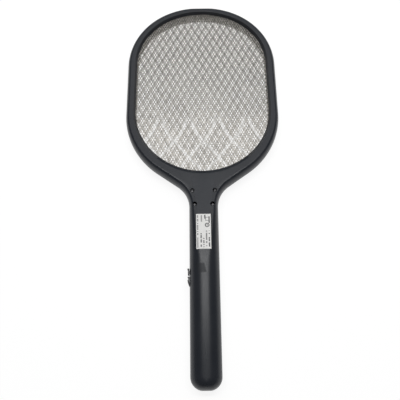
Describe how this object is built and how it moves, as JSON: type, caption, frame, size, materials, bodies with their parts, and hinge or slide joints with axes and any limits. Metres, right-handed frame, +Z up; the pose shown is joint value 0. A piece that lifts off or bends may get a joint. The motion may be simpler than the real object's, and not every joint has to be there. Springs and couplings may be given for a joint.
{
  "type": "electric fly swatter",
  "caption": "Electric fly swatter: a long rounded head with layered metal meshes in a dark plastic ring, on a straight battery handle with side controls.",
  "frame": {"origin": "centre of the footprint, on the floor the swatter lies on", "axes": "+X across the head, +Y along the handle towards the head's top, +Z up out of the screwed rear side"},
  "size_m": [0.181, 0.4598, 0.0276],
  "materials": {
    "rear_shell": "fine satin grain",
    "front_shell": "fine satin grain",
    "rear_mesh": "bright expanded metal",
    "centre_mesh": "dull expanded metal",
    "front_mesh": "bright expanded metal",
    "spacer": "plain moulding",
    "clip": "bare",
    "screw": "blackened",
    "label": "satin film",
    "control": "polished",
    "lever": "natural nylon",
    "switch_metal": "tinned",
    "plunger": "natural nylon",
    "switch_case": "plain moulding",
    "board": "solder mask",
    "board_screw": "zinc plated",
    "ferrite": "sintered",
    "coil": "varnished copper",
    "film_capacitor": "dipped",
    "disc_capacitor": "dipped",
    "diode": "moulded",
    "resistor": "lacquered",
    "transistor": "moulded",
    "led": "clear tinted",
    "lens": "translucent",
    "cell": "wrapped in film",
    "nickel": "bare",
    "foam": "soft foam",
    "socket": "drawn",
    "tongue": "plain moulding",
    "red_lead": "insulated wire",
    "black_lead": "insulated wire",
    "yellow_lead": "insulated wire",
    "white_lead": "insulated wire"
  },
  "bodies": {
    "swatter": {"rear_shell": "rear_shell", "front_shell": "front_shell", "rear_mesh": "rear_mesh", "centre_mesh": "centre_mesh", "front_mesh": "front_mesh", "rear_spacer_frame": "spacer", "front_spacer_frame": "spacer", "mesh_clips": "clip", "neck_screws": "screw", "rating_label": "label", "slide_switch_case": "switch_metal", "tact_switch_case": "switch_case", "switch_board": "board", "main_board": "board", "board_screws": "board_screw", "transformer_core": "ferrite", "transformer_coil": "coil", "hv_capacitor": "film_capacitor", "multiplier_capacitors": "disc_capacitor", "multiplier_diodes": "diode", "bleed_resistors": "resistor", "switching_transistor": "transistor", "indicator_led": "led", "indicator_lens": "lens", "battery_cell": "cell", "battery_tabs": "nickel", "battery_pads": "foam", "charging_board": "board", "charging_socket": "socket", "charging_socket_tongue": "tongue", "centre_mesh_lead": "red_lead", "outer_mesh_leads": "black_lead", "battery_leads": "red_lead", "switch_leads": "yellow_lead", "charging_leads": "white_lead"},
    "slide_switch": {"slide_knob": "control", "slide_lever": "lever"},
    "trigger_button": {"push_button": "control"},
    "plunger": {"tact_plunger": "plunger"}
  },
  "joints": [
    {"name": "slide_switch_travel", "type": "slide", "parent": "swatter", "child": "slide_switch", "axis": [0, 1, 0], "range_m": [0, 0.003]},
    {"name": "button_press", "type": "slide", "parent": "swatter", "child": "trigger_button", "axis": [1, 0, 0], "range_m": [0, 0.0007], "stiffness_N_per_m": 900, "springref_m": -0.0004},
    {"name": "plunger_press", "type": "slide", "parent": "swatter", "child": "plunger", "axis": [1, 0, 0], "range_m": [0, 0.0007]}
  ],
  "couplings": [
    {"joint": "plunger_press", "follows": "button_press", "ratio": 1}
  ]
}
